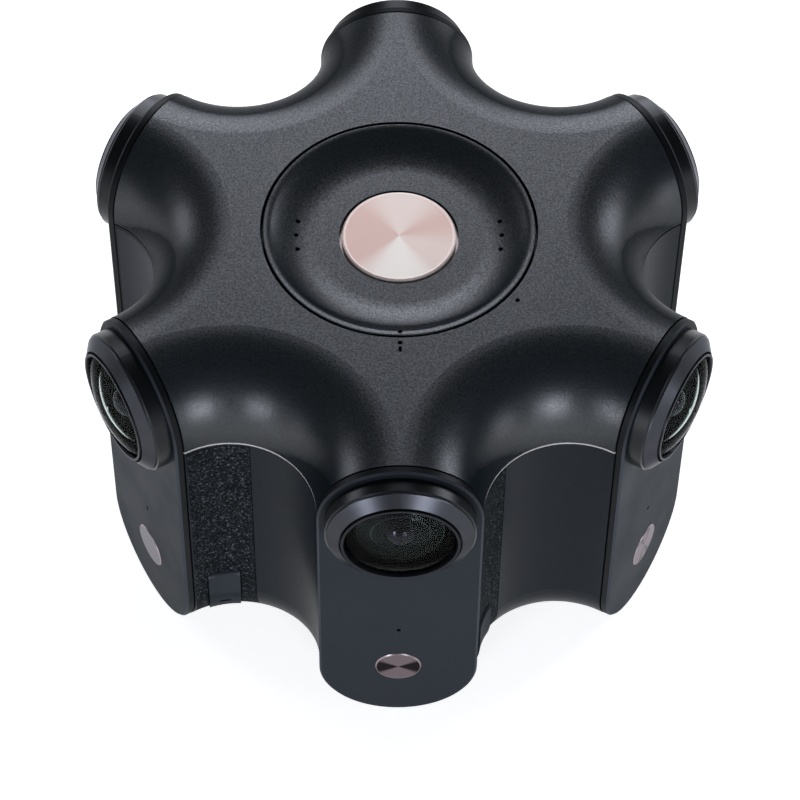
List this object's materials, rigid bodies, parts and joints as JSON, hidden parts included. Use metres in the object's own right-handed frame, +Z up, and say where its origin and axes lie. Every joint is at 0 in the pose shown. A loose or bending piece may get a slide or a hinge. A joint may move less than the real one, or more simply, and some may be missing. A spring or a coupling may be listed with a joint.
{
  "type": "360 degree camera",
  "caption": "Star-shaped panoramic video camera with a wide-angle lens on each lobe, a dished top with a round power button, side vents, card doors and a tripod thread below.",
  "frame": {"origin": "on the plane the feet stand on, below the middle of the body", "axes": "+Z up through the power button, -Y through the front lens"},
  "size_m": [0.1668, 0.18, 0.1156],
  "materials": {
    "shell": "fine grain matt paint, charcoal",
    "shell_trim": "fine grain, charcoal",
    "mesh": "fine woven grille, charcoal",
    "plate": "smooth satin paint, charcoal",
    "disc_metal": "spun satin",
    "lens_black": "gloss black",
    "bezel_metal": "satin anodised grey",
    "lens_glass": "polished, coated",
    "coated_glass": "polished, coloured coating",
    "dish": "satin charcoal",
    "button_metal": "spun, rose tint",
    "base_plastic": "matt black",
    "screw_steel": "blackened",
    "foot_rubber": "matt",
    "thread_steel": "plain",
    "circuit_board": "green solder mask",
    "port_metal": "plain",
    "port_plastic": "black",
    "fan_plastic": "black",
    "frame_metal": "machined",
    "heat_sink_metal": "extruded"
  },
  "bodies": {
    "housing": {"top_shell": "shell", "lower_shell": "shell", "top_dish": "dish", "bottom_cover": "base_plastic", "cover_screws": "screw_steel", "rubber_feet": "foot_rubber", "tripod_socket": "thread_steel", "face_discs": "disc_metal", "inner_elements": "coated_glass", "lens_cells": "frame_metal", "sensor_boards": "circuit_board", "core_frame": "frame_metal", "button_board": "circuit_board", "main_board": "circuit_board", "heat_sink": "heat_sink_metal", "fan_frame": "port_plastic", "port_board": "circuit_board", "ethernet_port": "port_metal", "usb_port": "port_metal", "power_inlet": "port_plastic", "card_sockets": "port_metal", "front_plate_1": "plate", "front_plate_2": "plate", "front_plate_3": "plate", "front_plate_4": "plate", "front_plate_5": "plate", "front_plate_6": "plate", "lens_barrel_1": "lens_black", "lens_barrel_2": "lens_black", "lens_barrel_3": "lens_black", "lens_barrel_4": "lens_black", "lens_barrel_5": "lens_black", "lens_barrel_6": "lens_black", "lens_bezel_1": "bezel_metal", "lens_bezel_2": "bezel_metal", "lens_bezel_3": "bezel_metal", "lens_bezel_4": "bezel_metal", "lens_bezel_5": "bezel_metal", "lens_bezel_6": "bezel_metal", "front_glass_1": "lens_glass", "front_glass_2": "lens_glass", "front_glass_3": "lens_glass", "front_glass_4": "lens_glass", "front_glass_5": "lens_glass", "front_glass_6": "lens_glass", "vent_mesh_1": "mesh", "vent_mesh_2": "mesh", "vent_mesh_3": "mesh", "vent_mesh_4": "mesh", "vent_mesh_5": "mesh", "vent_mesh_6": "mesh"},
    "button": {"power_button": "button_metal"},
    "rotor": {"fan_rotor": "fan_plastic"},
    "door_1": {"card_door_1": "shell_trim"},
    "door_2": {"card_door_2": "shell_trim"},
    "door_3": {"card_door_3": "shell_trim"},
    "door_4": {"card_door_4": "shell_trim"},
    "door_5": {"card_door_5": "shell_trim"},
    "door_6": {"card_door_6": "shell_trim"}
  },
  "joints": [
    {"name": "button_press", "type": "slide", "parent": "housing", "child": "button", "axis": [0, 0, 1], "range_m": [-0.0004, 0], "stiffness_N_per_m": 1500, "springref_m": 0.0004},
    {"name": "fan_spin", "type": "hinge", "parent": "housing", "child": "rotor", "pos_m": [0, 0, 0.0316], "axis": [0, 0, 1], "continuous": true},
    {"name": "door_hinge_1", "type": "hinge", "parent": "housing", "child": "door_1", "pos_m": [0.02258, -0.06874, 0.0301], "axis": [-0.3502, -0.9367, 0], "range_deg": [0, 100]},
    {"name": "door_hinge_2", "type": "hinge", "parent": "housing", "child": "door_2", "pos_m": [0.07082, -0.01482, 0.0301], "axis": [0.6361, -0.7716, 0], "range_deg": [0, 100]},
    {"name": "door_hinge_3", "type": "hinge", "parent": "housing", "child": "door_3", "pos_m": [0.04824, 0.05392, 0.0301], "axis": [0.9863, 0.165, 0], "range_deg": [0, 100]},
    {"name": "door_hinge_4", "type": "hinge", "parent": "housing", "child": "door_4", "pos_m": [-0.02258, 0.06874, 0.0301], "axis": [0.3502, 0.9367, 0], "range_deg": [0, 100]},
    {"name": "door_hinge_5", "type": "hinge", "parent": "housing", "child": "door_5", "pos_m": [-0.07082, 0.01482, 0.0301], "axis": [-0.6361, 0.7716, 0], "range_deg": [0, 100]},
    {"name": "door_hinge_6", "type": "hinge", "parent": "housing", "child": "door_6", "pos_m": [-0.04824, -0.05392, 0.0301], "axis": [-0.9863, -0.165, 0], "range_deg": [0, 100]}
  ]
}
